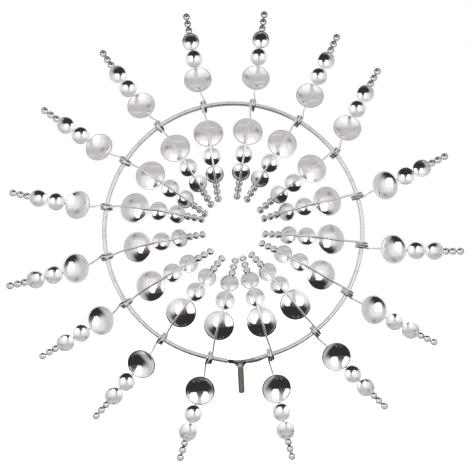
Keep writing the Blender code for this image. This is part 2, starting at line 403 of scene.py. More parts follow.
class Bench:
    """The few steps of hand modelling that every piece uses."""

    MERGE = 0.00001
    SMOOTHING = 0.5
    RUN_SHARP = 60
    HEAT_FALL = 1.5

    @staticmethod
    def active() -> bpy.types.Object:
        """The object that was added or joined last."""
        return bpy.context.view_layer.objects.active

    @classmethod
    def pick(cls, *objects: bpy.types.Object) -> None:
        """Selects only these objects and makes the first one active, or deselects everything.

        Args:
            *objects: The objects to select.
        """
        bpy.ops.object.select_all(action="DESELECT")
        for obj in objects:
            obj.select_set(True)
        if objects:
            bpy.context.view_layer.objects.active = objects[0]

    @classmethod
    @contextmanager
    def editing(cls, obj: bpy.types.Object, element: Element = Element.FACE) -> Iterator[None]:
        """Edit mode on one object, with nothing selected at the start.

        Args:
            obj: The object that is edited.
            element: What is selected.

        Yields:
            Nothing.
        """
        cls.pick(obj)
        bpy.ops.object.mode_set(mode="EDIT")
        bpy.ops.mesh.select_mode(type=element.value[0])
        bpy.ops.mesh.select_all(action="DESELECT")
        try:
            yield
        finally:
            bpy.ops.object.mode_set(mode="OBJECT")

    @staticmethod
    def choose(obj: bpy.types.Object, element: Element, wanted: Callable[[Any], bool]) -> None:
        """Within edit mode, selects the elements that pass a test.

        Args:
            obj: The object that is edited.
            element: Points, edges or faces.
            wanted: Tells whether an element is selected.
        """
        bpy.ops.mesh.select_all(action="DESELECT")
        bpy.ops.object.mode_set(mode="OBJECT")
        for item in getattr(obj.data, element.value[1]):
            item.select = wanted(item)
        bpy.ops.object.mode_set(mode="EDIT")

    @classmethod
    def modify(cls, obj: bpy.types.Object, kind: str, **settings: Any) -> None:
        """Adds a modifier and applies it.

        Args:
            obj: The mesh object.
            kind: The modifier's type.
            **settings: The modifier's own properties.
        """
        cls.pick(obj)
        modifier = obj.modifiers.new(kind.title(), kind)
        for name, value in settings.items():
            setattr(modifier, name, value)
        bpy.ops.object.modifier_apply(modifier=modifier.name)

    @classmethod
    def run_together(cls, obj: bpy.types.Object, voxel: float, iterations: int) -> None:
        """Makes one skin of shapes that overlap and softens it where they meet.

        Args:
            obj: The joined shapes.
            voxel: The size of the new skin's cells.
            iterations: How many times it is smoothed.
        """
        cls.modify(obj, "REMESH", mode="VOXEL", voxel_size=voxel)
        cls.modify(obj, "SMOOTH", factor=cls.SMOOTHING, iterations=iterations)
        cls.smooth(obj, cls.RUN_SHARP)

    @classmethod
    def lower(cls, obj: bpy.types.Object, amount: float, share: Callable[[Vector], float]) -> None:
        """Moves each point down by its own share of an amount.

        Args:
            obj: The mesh object.
            amount: The largest move, in metres.
            share: Gives a point's share, from 0 to 1.
        """
        group = obj.vertex_groups.new(name="lowered")
        for point in obj.data.vertices:
            group.add([point.index], share(point.co), "REPLACE")
        cls.modify(obj, "DISPLACE", direction="Z", strength=-amount, mid_level=0.0, vertex_group=group.name)
        obj.vertex_groups.clear()

    @classmethod
    def outward(cls, obj: bpy.types.Object) -> None:
        """Merges doubled points and turns every face outwards.

        Args:
            obj: The mesh object.
        """
        with cls.editing(obj, Element.POINT):
            bpy.ops.mesh.select_all(action="SELECT")
            bpy.ops.mesh.remove_doubles(threshold=cls.MERGE)
            bpy.ops.mesh.normals_make_consistent(inside=False)

    @classmethod
    def smooth(cls, obj: bpy.types.Object, angle: float) -> None:
        """Smooth shading, with edges sharper than an angle in degrees kept."""
        cls.pick(obj)
        bpy.ops.object.shade_smooth_by_angle(angle=math.radians(angle))

    @classmethod
    def join(cls, objects: Sequence[bpy.types.Object], name: str) -> bpy.types.Object:
        """Joins objects into one.

        Args:
            objects: The objects; the first one takes in the rest.
            name: The name of the whole.

        Returns:
            The joined object.
        """
        cls.pick(*objects)
        bpy.ops.object.join()
        made = cls.active()
        made.name = made.data.name = name
        return made

    @classmethod
    def settle(cls, obj: bpy.types.Object) -> bpy.types.Object:
        """Moves an object's place into its mesh.

        Args:
            obj: The object as it was added.

        Returns:
            The same object, at the origin.
        """
        cls.pick(obj)
        bpy.ops.object.transform_apply(location=True, rotation=True, scale=True)
        return obj

    @classmethod
    def ball(
        cls,
        segments: int,
        rings: int,
        radius: float,
        place: Sequence[float] = (0, 0, 0),
        scale: Sequence[float] = (1, 1, 1),
    ) -> bpy.types.Object:
        """A ball to start a shape from, its poles above and below.

        Args:
            segments: How many faces go round it.
            rings: How many faces go from pole to pole.
            radius: Its radius before it is scaled.
            place: Its middle.
            scale: How far it is drawn out along each axis.

        Returns:
            The ball, with its place in its mesh.
        """
        cls.pick()
        bpy.ops.mesh.primitive_uv_sphere_add(
            segments=segments, ring_count=rings, radius=radius, location=place
        )
        cls.active().scale = scale
        return cls.settle(cls.active())

    @classmethod
    def copy_to(cls, model: bpy.types.Object, name: str, matrix: Matrix) -> bpy.types.Object:
        """Copies a model with a mesh of its own and places it.

        Args:
            model: The piece that is modelled once.
            name: The copy's name.
            matrix: Where the copy goes.

        Returns:
            The copy, at the origin, with its place in its mesh.
        """
        copy = model.copy()
        copy.data = model.data.copy()
        copy.name = copy.data.name = name
        bpy.context.collection.objects.link(copy)
        copy.data.transform(matrix)
        return copy

    @classmethod
    def wire(
        cls, name: str, points: Sequence[Vector], radii: Sequence[float], resolution: int
    ) -> bpy.types.Object:
        """A round wire through points, as a mesh with closed ends.

        Args:
            name: The piece's name.
            points: The wire's middle line.
            radii: The wire's radius at each point.
            resolution: The bevel's resolution, which gives 4 sides and 2 more for each step.

        Returns:
            The wire's mesh object.
        """
        cls.pick()
        bpy.ops.curve.primitive_nurbs_path_add()
        obj = cls.active()
        obj.name = name
        curve = obj.data
        curve.splines.clear()
        spline = curve.splines.new("POLY")
        spline.points.add(len(points) - 1)
        for point, place, radius in zip(spline.points, points, radii):
            point.co = (*place, 1)
            point.radius = radius
        curve.bevel_depth = 1.0
        curve.bevel_resolution = resolution
        curve.use_fill_caps = True
        cls.pick(obj)
        bpy.ops.object.convert(target="MESH")
        cls.outward(obj)
        return obj

    @staticmethod
    def surface(obj: bpy.types.Object) -> tuple[np.ndarray, np.ndarray]:
        """Reads a mesh's points.

        Args:
            obj: The mesh object.

        Returns:
            The points' places and their normals, a row for each point.
        """
        rows = []
        for name in ("co", "normal"):
            values = np.empty(len(obj.data.vertices) * 3, np.float32)
            obj.data.vertices.foreach_get(name, values)
            rows.append(values.reshape(-1, 3))
        return rows[0], rows[1]

    @staticmethod
    def store(obj: bpy.types.Object, mark: Mark, values: np.ndarray) -> None:
        """Stores a mark at a mesh's points, on top of what it holds.

        Args:
            obj: The mesh object.
            mark: The mark.
            values: How strong it is at each point; it is held between 0 and 1.
        """
        layer = obj.data.attributes.get(mark.value) or obj.data.attributes.new(mark.value, "FLOAT", "POINT")
        held = np.empty(len(values), np.float32)
        layer.data.foreach_get("value", held)
        layer.data.foreach_set("value", np.maximum(held, np.clip(values, 0, 1)).astype(np.float32))

    @classmethod
    def heat(cls, obj: bpy.types.Object, spots: Iterable[Vector], reach: float) -> None:
        """Marks how hot each point was welded: 1 at a spot and 0 beyond its reach.

        Args:
            obj: The mesh object.
            spots: The welds' middles.
            reach: How far the heat shows, in metres.
        """
        places, _ = cls.surface(obj)
        for spot in spots:
            far = np.linalg.norm(places - np.array(spot, np.float32), axis=1) / reach
            cls.store(obj, Mark.HEAT, np.clip(1 - far, 0, 1) ** cls.HEAT_FALL)


@dataclass
class Piece:
    """A finished piece and what it says to the frame."""

    obj: bpy.types.Object
    body: str
    slot: str
    replaces: tuple[str, ...] = ()

    def hand_over(self) -> None:
        """Tells the frame what the piece rides on and stands for."""
        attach(self.obj, self.body)
        if self.replaces:
            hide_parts(*self.replaces)
        LOG.info("%s rides on %s, %d faces", self.obj.name, self.body, len(self.obj.data.polygons))


# ---------------------------------------------------------------- where the model puts things


class Station(NamedTuple):
    """A place along an arm, in its wand's plane."""

    outwards: float
    forwards: float
    slope: float


class Side(Enum):
    """The two arms of a wand."""

    OUTER = 1
    INNER = -1


def in_plane(outwards: float, forwards: float) -> Vector:
    """A vector in a wand's plane."""
    return Vector((0, -forwards, outwards))


@dataclass(frozen=True)
class ArmShape:
    """The curve of an arm: its slope against the hoop's plane opens fast at first."""

    first_slope: float = math.radians(-63.5)
    last_slope: float = math.radians(27.2)
    opening: float = 1.76
    length: float = 73.8 * MM
    steps: int = 369
    wire_radius: float = 0.65 * MM
    bore_radius: float = 2.25 * MM
    dip: float = 2 * MM
    big_cup: float = 27.8 * MM
    medium_cups: tuple[float, ...] = (44.5 * MM, 56.6 * MM)
    small_cups: tuple[float, ...] = (63.9 * MM, 68.5 * MM, 73.1 * MM)
    cad_gap: float = 0.4 * MM
    sink: float = 0.3 * MM
    far_medium_tip: float = math.radians(4)

    @property
    def coil_radius(self) -> float:
        """The radius of the coil's middle line."""
        return self.bore_radius + self.wire_radius

    def station(self, distance: float) -> Station:
        """Follows the arm from where it leaves the coil.

        Args:
            distance: How far along the wire the place is.

        Returns:
            The place and the wire's slope there.
        """
        outwards = forwards = 0.0
        step = self.length / self.steps
        for index in range(round(distance / step)):
            slope = self._slope((index + 0.5) / self.steps)
            outwards += step * math.cos(slope)
            forwards += step * math.sin(slope)
        return Station(outwards, forwards, self._slope(distance / self.length))

    def _slope(self, share: float) -> float:
        """The wire's slope at a share of the arm's length."""
        return self.first_slope + (self.last_slope - self.first_slope) * (1 - (1 - share) ** self.opening)

    def leaving_point(self) -> Vector:
        """Where both arms leave the coil, in the wand's frame; they dip inwards again from there."""
        slope = self.first_slope
        return in_plane(-self.coil_radius * math.sin(slope), self.coil_radius * math.cos(slope))

    def arm_matrix(self, side: Side, bend: float) -> Matrix:
        """Takes an arm's own frame into the wand's.

        Args:
            side: Which arm it is.
            bend: How far the arms are bent out of the wand's plane.

        Returns:
            The arm's place.
        """
        start = self.leaving_point() - in_plane(self.dip, 0)
        turn = Matrix() if side is Side.OUTER else Matrix.Rotation(math.pi, 4, "X")
        return Matrix.Translation(start) @ Matrix.Rotation(side.value * bend, 4, "Y") @ turn

    def cup_matrix(self, distance: float, lift: float) -> Matrix:
        """Where a cup stands on an arm, in the arm's frame.

        Args:
            distance: How far along the arm the cup is.
            lift: How far its bottom is above the wire's middle line.

        Returns:
            The cup's place, its mouth to the arm's hollow side.
        """
        outwards, forwards, slope = self.station(distance)
        up = in_plane(-math.sin(slope), math.cos(slope))
        along = in_plane(math.cos(slope), math.sin(slope))
        turn = frame_of(up.cross(along), along, up)
        return Matrix.Translation(in_plane(outwards, forwards) + up * lift) @ turn


@dataclass
class CupSeat:
    """The bottom and the mouth's direction of a cup in the model."""

    bottom: Vector
    mouth: Vector

    AXIS_WIDTH = 0.1 * MM
    DECIMALS = 7

    @classmethod
    def of_node(cls, node: str) -> "CupSeat":
        """Reads a turned cup's axis from its solid.

        Args:
            node: The cup's node.

        Returns:
            Where the cup stands.
        """
        corners = np.array([point.co for point in frame["nodes"][node].data.vertices])
        corners = np.unique(corners.round(cls.DECIMALS), axis=0)
        middle = corners.mean(axis=0)
        reach = corners - middle
        axis = np.linalg.eigh(reach.T @ reach)[1][:, 0]
        off_axis = np.linalg.norm(reach - np.outer(reach @ axis, axis), axis=1)
        on_axis = reach[off_axis < cls.AXIS_WIDTH]
        bottom = on_axis[np.argmax(np.linalg.norm(on_axis, axis=1))]
        return cls(Vector(middle + bottom), Vector(-bottom).normalized())


@dataclass
class WandSeat:
    """Where one wand hangs, how far its arms are bent out of line and how its cups roll on them."""

    body: str
    matrix: Matrix
    bend: float
    rolls: dict[Side, float] = field(default_factory=dict)

    @classmethod
    def of_joint(cls, joint: Mapping[str, Any], arm: ArmShape) -> "WandSeat":
        """Works out a wand's frame from its joint and from its outer big cup.

        Args:
            joint: The wand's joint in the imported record.
            arm: The shape of its arms.

        Returns:
            The wand's seat.
        """
        body = joint["child"]
        hub = Vector(joint["pos_m"])
        across = Vector(joint["axis"]).normalized()
        seat = CupSeat.of_node(body.replace("wand", "outer_big_bowl"))
        reach = seat.bottom - hub
        planned = arm.cup_matrix(arm.big_cup, arm.wire_radius + arm.cad_gap).translation
        bend = math.asin(reach.dot(across) / planned.z)
        planned = arm.arm_matrix(Side.OUTER, bend) @ planned
        first = across.orthogonal().normalized()
        second = across.cross(first)
        turn = math.atan2(reach.dot(second), reach.dot(first)) - math.atan2(planned.z, planned.y)
        back = first * math.cos(turn) + second * math.sin(turn)
        made = cls(body, Matrix.Translation(hub) @ frame_of(across, back, across.cross(back)), bend)
        for side in Side:
            mouth = CupSeat.of_node(made.big_cup_node(side)).mouth
            nominal = made.matrix @ arm.arm_matrix(side, bend) @ arm.cup_matrix(arm.big_cup, 0)
            made.rolls[side] = math.asin((nominal.to_3x3().transposed() @ mouth).x)
        return made

    @property
    def across(self) -> Vector:
        """The direction that the wand spins about."""
        return self.matrix.col[0].to_3d()

    def big_cup_node(self, side: Side) -> str:
        """The node of the big cup on one arm."""
        return self.body.replace("wand", f"{side.name.lower()}_big_bowl")


class End(Enum):
    """The two ends of the hoop's tube, beside the stem."""

    LEFT = -1
    RIGHT = 1


@dataclass
class HoopLine:
    """The circle that the hoop's tube follows, from the joints on it, and how its lowest part sags."""

    radius: float
    centre: Vector
    left_end: float = math.radians(5.5)
    right_end: float = math.radians(6.6)
    sag_depth: float = 1.5 * MM
    sag_reach: float = 18 * MM

    @classmethod
    def of_joints(cls, joints: Sequence[Mapping[str, Any]]) -> "HoopLine":
        """The circle through the joints, whose centre is above the stem.

        Args:
            joints: The wands' joints.

        Returns:
            The hoop's middle line.
        """
        low, high = (Vector(joints[index]["pos_m"]) for index in (0, len(joints) // 2))
        height = (low.length_squared - high.length_squared) / (2 * (low.z - high.z))
        centre = Vector((0, 0, height))
        return cls((low - centre).length, centre)

    def sag(self, obj: bpy.types.Object) -> None:
        """Lets a piece follow the hoop's lowest part, which hangs below the circle."""
        Bench.lower(obj, self.sag_depth, self._sag_share)

    def _sag_share(self, place: Vector) -> float:
        """The share of the sag at a place.

        Args:
            place: A point of the mesh.

        Returns:
            1 above the stem, falling to 0 at its foot, beyond the sag's reach and over the hoop's middle.
        """
        if place.z >= self.centre.z:
            return 0.0
        height = min(1.0, max(0.0, place.z / (self.centre.z - self.radius)))
        return (1 - eased(abs(place.x) / self.sag_reach)) * height

    def point(self, angle: float) -> Vector:
        """A point at an angle from the stem, to the right, in radians."""
        return self.centre + Vector((self.radius * math.sin(angle), 0, -self.radius * math.cos(angle)))

    def along(self, angle: float) -> Vector:
        """The tube's direction at an angle, to the right."""
        return Vector((math.cos(angle), 0, math.sin(angle)))

    def end_angle(self, end: End) -> float:
        """Where the tube ends."""
        return self.right_end if end is End.RIGHT else -self.left_end


# ---------------------------------------------------------------- hoop and stem


@dataclass
class Hoop:
    """The C-shaped tube, with a socket in its left end."""

    line: HoopLine
    tube_radius: float = 1.5 * MM
    socket_radius: float = 0.95 * MM
    socket_depth: float = 4.5 * MM
    lip: float = 0.12 * MM
    end_rounding: float = 0.35 * MM
    rings: int = 300
    sides: int = 24
    sharp: float = 40
    lowest_part: float = 0.9
    cut_margin: float = 1 * MM
    rim_reach: float = 1.05
    rim_gap: float = 0.02 * MM
    weld_place: float = 0.9
    weld_reach: float = 16 * MM
    # Painted shade along the tube's inner and outer side: where it starts, over what span it grows, and how
    # dark it gets.
    tarnish_start: float = 0.6
    tarnish_span: float = 0.35
    tarnish_share: float = 0.22

    def build(self) -> Piece:
        """Models the tube from a torus.

        Returns:
            The hoop, riding on the frame.
        """
        Bench.pick()
        bpy.ops.mesh.primitive_torus_add(
            major_segments=self.rings,
            minor_segments=self.sides,
            major_radius=self.line.radius,
            minor_radius=self.tube_radius,
            location=self.line.centre,
            rotation=(math.pi / 2, 0, 0),
        )
        hoop = Bench.settle(Bench.active())
        hoop.name = hoop.data.name = "hoop_tube"
        for end in End:
            self._cut(hoop, end)
        self._close_right_end(hoop)
        self._sink_socket(hoop)
        Bench.outward(hoop)
        Bench.smooth(hoop, self.sharp)
        Bench.heat(hoop, [self.line.point(self.line.right_end * self.weld_place)], self.weld_reach)
        # Painted shade along the tube's inner and outer side.
        self._tarnish(hoop)
        self.line.sag(hoop)
        hoop.data.materials.append(PolishedTube().material())
        return Piece(hoop, "frame", "hoop_steel", ("hoop",))

    def _tarnish(self, hoop: bpy.types.Object) -> None:
        """Paints shade a little along the tube's inner and its outer side.

        Args:
            hoop: The tube.
        """
        places, normals = Bench.surface(hoop)
        away = places - np.array(self.line.centre)
        facing = np.abs((normals * away).sum(axis=1) / np.linalg.norm(away, axis=1))
        # Painted shade: darker where the surface faces towards or away from the hoop's middle.
        tarnish = (facing - self.tarnish_start) / self.tarnish_span * self.tarnish_share
        Bench.store(hoop, Mark.STAIN, tarnish)

    def _cut(self, hoop: bpy.types.Object, end: End) -> None:
        """Cuts one side of the gap that the stem fitting closes.

        Args:
            hoop: The tube.
            end: The end that is cut.
        """
        angle = self.line.end_angle(end)
        lowest = self.line.centre.z - self.lowest_part * self.line.radius

        def is_near(face: bpy.types.MeshPolygon) -> bool:
            """Whether a face is in the tube's lowest part, on this side of the stem or just past it."""
            return face.center.z < lowest and face.center.x * end.value > -self.cut_margin

        outwards = self.line.along(angle) * end.value
        with Bench.editing(hoop):
            Bench.choose(hoop, Element.FACE, is_near)
            bpy.ops.mesh.bisect(plane_co=self.line.point(angle), plane_no=outwards, clear_inner=True)

    def _fill_end(self, hoop: bpy.types.Object, end: End) -> None:
        """Within edit mode, closes one end of the tube with a face and selects it.

        Args:
            hoop: The tube.
            end: The end that is closed.
        """
        angle = self.line.end_angle(end)
        middle, along = self.line.point(angle), self.line.along(angle)

        def is_on_rim(point: bpy.types.MeshVertex) -> bool:
            """Whether a point is on the tube's open rim."""
            away = point.co - middle
            return away.length < self.rim_reach * self.tube_radius and abs(away.dot(along)) < self.rim_gap

        Bench.choose(hoop, Element.POINT, is_on_rim)
        bpy.ops.mesh.edge_face_add()

    def _close_right_end(self, hoop: bpy.types.Object) -> None:
        """Closes the right end, with a narrow rim.

        Args:
            hoop: The tube.
        """
        with Bench.editing(hoop, Element.POINT):
            self._fill_end(hoop, End.RIGHT)
            bpy.ops.mesh.inset(thickness=self.end_rounding)

    def _sink_socket(self, hoop: bpy.types.Object) -> None:
        """Gives the left end a wall and a hole.

        Args:
            hoop: The tube.
        """
        inwards = self.line.along(self.line.end_angle(End.LEFT)) * -self.socket_depth
        with Bench.editing(hoop, Element.POINT):
            self._fill_end(hoop, End.LEFT)
            bpy.ops.mesh.select_mode(type=Element.FACE.value[0])
            bpy.ops.mesh.inset(thickness=self.lip)
            bpy.ops.mesh.inset(thickness=self.tube_radius - self.socket_radius - self.lip)
            bpy.ops.mesh.extrude_region_move(TRANSFORM_OT_translate={"value": inwards})


class Drop(NamedTuple):
    """A drop of weld under the tube: its place as a share of the right end's angle, and its size."""

    place: float
    radius: float
    below: float


@dataclass
class StemFitting:
    """The stem, its two legs, the peg in the hoop's left end and the stub on its right."""

    line: HoopLine
    stem_radius: float = 1.95 * MM
    stem_sides: int = 40
    stem_gap: float = 0.6 * MM
    end_radius: float = 1.0 * MM
    end_steps: int = 5
    downwards: float = -0.9
    leg_radius: float = 1.0 * MM
    leg_start: float = 1.05
    leg_taper: float = 0.25
    leg_height: float = 4.6 * MM
    leg_reach: float = 4.8 * MM
    leg_steps: int = 12
    leg_roundness: int = 6
    heel_share: float = 0.32
    heel_drop: float = 1.5 * MM
    peg_radius: float = 0.85 * MM
    peg_length: float = 3.6 * MM
    link_radius: float = 1.25 * MM
    link_start: float = math.radians(5.1)
    stub_radius: float = 1.42 * MM
    stub_gap: float = 0.1 * MM
    swell: float = 0.9 * MM
    swell_length: float = 2.5
    bridge_steps: int = 60
    bridge_roundness: int = 8
    voxel: float = 0.16 * MM
    rod_smoothing: int = 6
    bead_smoothing: int = 12
    weld_drop: float = 3 * MM
    weld_reach: float = 8 * MM
    # Painted highlights: a bright spot in the crotch between the legs and a lit top on the ridge.
    crotch: tuple[float, float, float] = (-0.5 * MM, -1.4 * MM, -2.2 * MM)
    crotch_reach: float = 1.7 * MM
    crotch_shine: float = 1.5
    ridge_reach: float = 4.2 * MM
    ridge_shine: float = 0.6
    drop_faces: tuple[int, int] = (20, 12)
    drop_scale: tuple[float, float, float] = (1.8, 0.95, 0.72)
    drop_front: float = 0.3 * MM
    drops: tuple[Drop, ...] = (
        Drop(0.6, 1.0 * MM, 0.9 * MM),
        Drop(0.8, 1.2 * MM, 1.05 * MM),
        Drop(1.0, 1.25 * MM, 1.15 * MM),
        Drop(1.2, 1.15 * MM, 1.15 * MM),
        Drop(1.4, 0.95 * MM, 1.1 * MM),
        Drop(1.6, 0.75 * MM, 1.05 * MM),
    )

    @property
    def top(self) -> Vector:
        """Where the stem meets the hoop's line."""
        return self.line.point(0)

    def build(self) -> list[Piece]:
        """Models the fitting as welded rods whose joints are run together.

        Returns:
            The fitting and its weld bead, riding on the frame.
        """
        rods = [self._stem(), *(self._leg(end) for end in End), self._bridge()]
        fitting = Bench.join(rods, "stem_fitting_rods")
        Bench.run_together(fitting, self.voxel, self.rod_smoothing)
        Bench.heat(fitting, [self.top, self.top - UP * self.weld_drop], self.weld_reach)
        # Painted highlights on the crotch and the ridge.
        self._grind(fitting)
        bead = Bench.join([self._drop(drop) for drop in self.drops], "stem_weld_bead")
        Bench.run_together(bead, self.voxel, self.bead_smoothing)
        for part, finish in ((fitting, DullRod()), (bead, WeldScale())):
            self.line.sag(part)
            part.data.materials.append(finish.material())
        return [
            Piece(fitting, "frame", "stem_steel", ("stem_fitting",)),
            Piece(bead, "frame", "stem_steel"),
        ]

    def _grind(self, fitting: bpy.types.Object) -> None:
        """Paints highlights on the crotch between the legs and on the ridge along the top, most where it
        faces up.

        Args:
            fitting: The fitting before it sags.
        """
        places, normals = Bench.surface(fitting)
        far = np.linalg.norm(places - np.array(self.top + Vector(self.crotch)), axis=1)
        on_ridge = (places[:, 2] > self.top.z) * (np.abs(places[:, 0]) < self.ridge_reach)
        spot = self.crotch_shine * (1 - far / self.crotch_reach)
        Bench.store(fitting, Mark.STAIN, np.maximum(spot, self.ridge_shine * normals[:, 2] * on_ridge))

    def _stem(self) -> bpy.types.Object:
        """The upright rod, rounded over at its lower end.

        Returns:
            The rod.
        """
        height = self.top.z - self.stem_gap
        Bench.pick()
        bpy.ops.mesh.primitive_cylinder_add(
            vertices=self.stem_sides, radius=self.stem_radius, depth=height, location=UP * height / 2
        )
        stem = Bench.settle(Bench.active())
        with Bench.editing(stem):
            Bench.choose(stem, Element.FACE, lambda face: face.normal.z < self.downwards)
            bpy.ops.mesh.bevel(offset=self.stem_radius - self.end_radius, segments=self.end_steps)
        return stem

    def _leg(self, end: End) -> bpy.types.Object:
        """A leg that flares from the stem into the hoop's line.

        Args:
            end: The end of the tube that it leads to.

        Returns:
            The leg, thinner towards the tube.
        """
        foot = self.top - UP * self.leg_height
        heel = self.line.point(end.value * self.heel_share * self.leg_reach / self.line.radius)
        heel -= UP * self.heel_drop
        head = self.line.point(end.value * self.leg_reach / self.line.radius)
        shares = [index / self.leg_steps for index in range(self.leg_steps + 1)]
        points = [foot * (1 - s) ** 2 + heel * 2 * s * (1 - s) + head * s**2 for s in shares]
        radii = [self.leg_radius * (self.leg_start - self.leg_taper * share) for share in shares]
        return Bench.wire("leg", points, radii, self.leg_roundness)

    def _bridge(self) -> bpy.types.Object:
        """The rod along the hoop's line: peg, link to the left and stub to the right.

        Returns:
            The rod, from inside the left socket to the right end.
        """
        first = -self.line.right_end - self.peg_length / self.line.radius
        last = self.line.right_end - self.stub_gap / self.line.radius
        swell = self.swell / self.line.radius
        count = self.bridge_steps
        angles = [first + (last - first) * index / count for index in range(count + 1)]
        radii = []
        for angle in angles:
            share = min(1.0, max(0.0, (angle + swell) / (self.swell_length * swell)))
            radius = self.link_radius if angle > -self.link_start else self.peg_radius
            radii.append(radius + (self.stub_radius - radius) * share)
        points = [self.line.point(angle) for angle in angles]
        return Bench.wire("bridge", points, radii, self.bridge_roundness)

    def _drop(self, drop: Drop) -> bpy.types.Object:
        """One flattened drop of the weld bead."""
        place = self.line.point(drop.place * self.line.right_end) - Vector((0, self.drop_front, drop.below))
        return Bench.ball(*self.drop_faces, drop.radius, place, self.drop_scale)


# ---------------------------------------------------------------- wands


@dataclass(frozen=True)
class CupSize:
    """A stamped cup: part of a ball, with a flat lip unless it is small, and a dark band of painted shade
    along its rim.
    """

    name: str
    radius: float
    depth: float
    wall: float
    lip: float
    segments: int
    rings: int
    edge_steps: int
    # The width and the darkness of the band of painted shade along the rim.
    edge_band: float
    edge_stain: float
    edge_cut: float = 0.4
    level: float = 0.99
    sharp: float = 55

    @property
    def dish_radius(self) -> float:
        """How far the hollow reaches, inside the lip."""
        return self.radius - self.lip

    def model(self) -> bpy.types.Object:
        """Models the cup once, its bottom at the origin and its mouth up.

        Returns:
            The cup, which the wands copy.
        """
        ball = (self.radius**2 + self.depth**2) / (2 * self.depth)
        cup = Bench.ball(self.segments, self.rings, ball, UP * ball)
        cup.name = cup.data.name = self.name
        brim = UP * (ball - math.sqrt(ball**2 - self.dish_radius**2))
        with Bench.editing(cup, Element.EDGE):
            bpy.ops.mesh.select_all(action="SELECT")
            bpy.ops.mesh.bisect(plane_co=brim, plane_no=UP, clear_outer=True)
            if self.lip:
                self._spread_lip(brim)
        Bench.modify(cup, "SOLIDIFY", thickness=self.wall, offset=-1, use_even_offset=True)
        if self.edge_steps:
            self._round_edge(cup)
        Bench.outward(cup)
        Bench.smooth(cup, self.sharp)
        # Painted shade: a dark band along the rim, full over its outer half.
        places, _ = Bench.surface(cup)
        into_band = np.hypot(places[:, 0], places[:, 1]) - (self.radius - self.edge_band)
        near_rim = np.clip(into_band / (self.edge_band / 2), 0, 1)
        Bench.store(cup, Mark.STAIN, self.edge_stain * near_rim)
        return cup

    def _spread_lip(self, brim: Vector) -> None:
        """Within edit mode, draws the open rim out into a flat lip.

        Args:
            brim: The rim's middle.
        """
        bpy.ops.mesh.select_all(action="DESELECT")
        bpy.ops.mesh.select_non_manifold()
        bpy.ops.mesh.extrude_edges_move()
        spread = self.radius / self.dish_radius
        bpy.ops.transform.resize(value=(spread, spread, 1), center_override=brim)

    def _round_edge(self, cup: bpy.types.Object) -> None:
        """Rounds both corners of the lip.

        Args:
            cup: The cup, already as thick as its sheet.
        """
        inner = self.dish_radius - self.wall / 2

        def is_lip(face: bpy.types.MeshPolygon) -> bool:
            """Whether a face is part of the level rim."""
            return face.normal.z > self.level and face.center.to_2d().length > inner

        with Bench.editing(cup, Element.EDGE):
            Bench.choose(cup, Element.FACE, is_lip)
            bpy.ops.mesh.region_to_loop()
            bpy.ops.mesh.bevel(offset=self.edge_cut * self.wall, segments=self.edge_steps, affect="EDGES")


@dataclass(frozen=True)
class CoilShade:
    """Painted shade on a coil: darker underneath, on its outer flanks and at its ends."""

    reach: float = 6.6 * MM
    reach_fade: float = 1.4 * MM
    groove: float = 0.45 * MM
    groove_fade: float = 0.4 * MM
    flank_share: float = 0.4
    end_share: float = 0.4
    start: float = 0.15
    span: float = 0.6

    def lay_on(self, wire: bpy.types.Object, seat: WandSeat) -> None:
        """Paints the shade on a wand's wire.

        Args:
            wire: The wire, already in its place.
            seat: Where its wand hangs.
        """
        places, normals = Bench.surface(wire)
        across, outwards = np.array(seat.across), np.array(seat.matrix.col[2].to_3d())
        away = places - np.array(seat.matrix.translation)
        near = (self.reach - np.linalg.norm(away, axis=1)) / self.reach_fade
        outside = np.clip((np.abs(away @ across) - self.groove) / self.groove_fade, 0, 1)
        # Painted shade: darker where the surface faces down, on the outer flanks and at the ends, near the
        # coil.
        flank, end = np.abs(normals @ across), np.abs(normals @ outwards)
        under = np.maximum(-normals[:, 2], 0) * (1 - flank * (1 - outside))
        shaded = under + self.flank_share * flank * outside + self.end_share * end
        grime = np.clip((shaded - self.start) / self.span, 0, 1)
        Bench.store(wire, Mark.STAIN, np.clip(near, 0, 1) * grime)


@dataclass(frozen=True)
class Nugget:
    """A flattened drop of weld between the wire and a cup."""

    radius: float = 0.9 * MM
    faces: tuple[int, int] = (14, 8)
    scale: tuple[float, float, float] = (0.95, 1.35, 0.42)
    big_lift: float = 0.9
    medium_lift: float = 0.45
    heat_reach: float = 2.6 * MM

    def model(self, place: Matrix) -> bpy.types.Object:
        """Models a nugget.

        Args:
            place: Where its cup is welded.

        Returns:
            The nugget, with its place in its mesh.
        """
        nugget = Bench.ball(*self.faces, self.radius, scale=self.scale)
        nugget.data.transform(place)
        return nugget


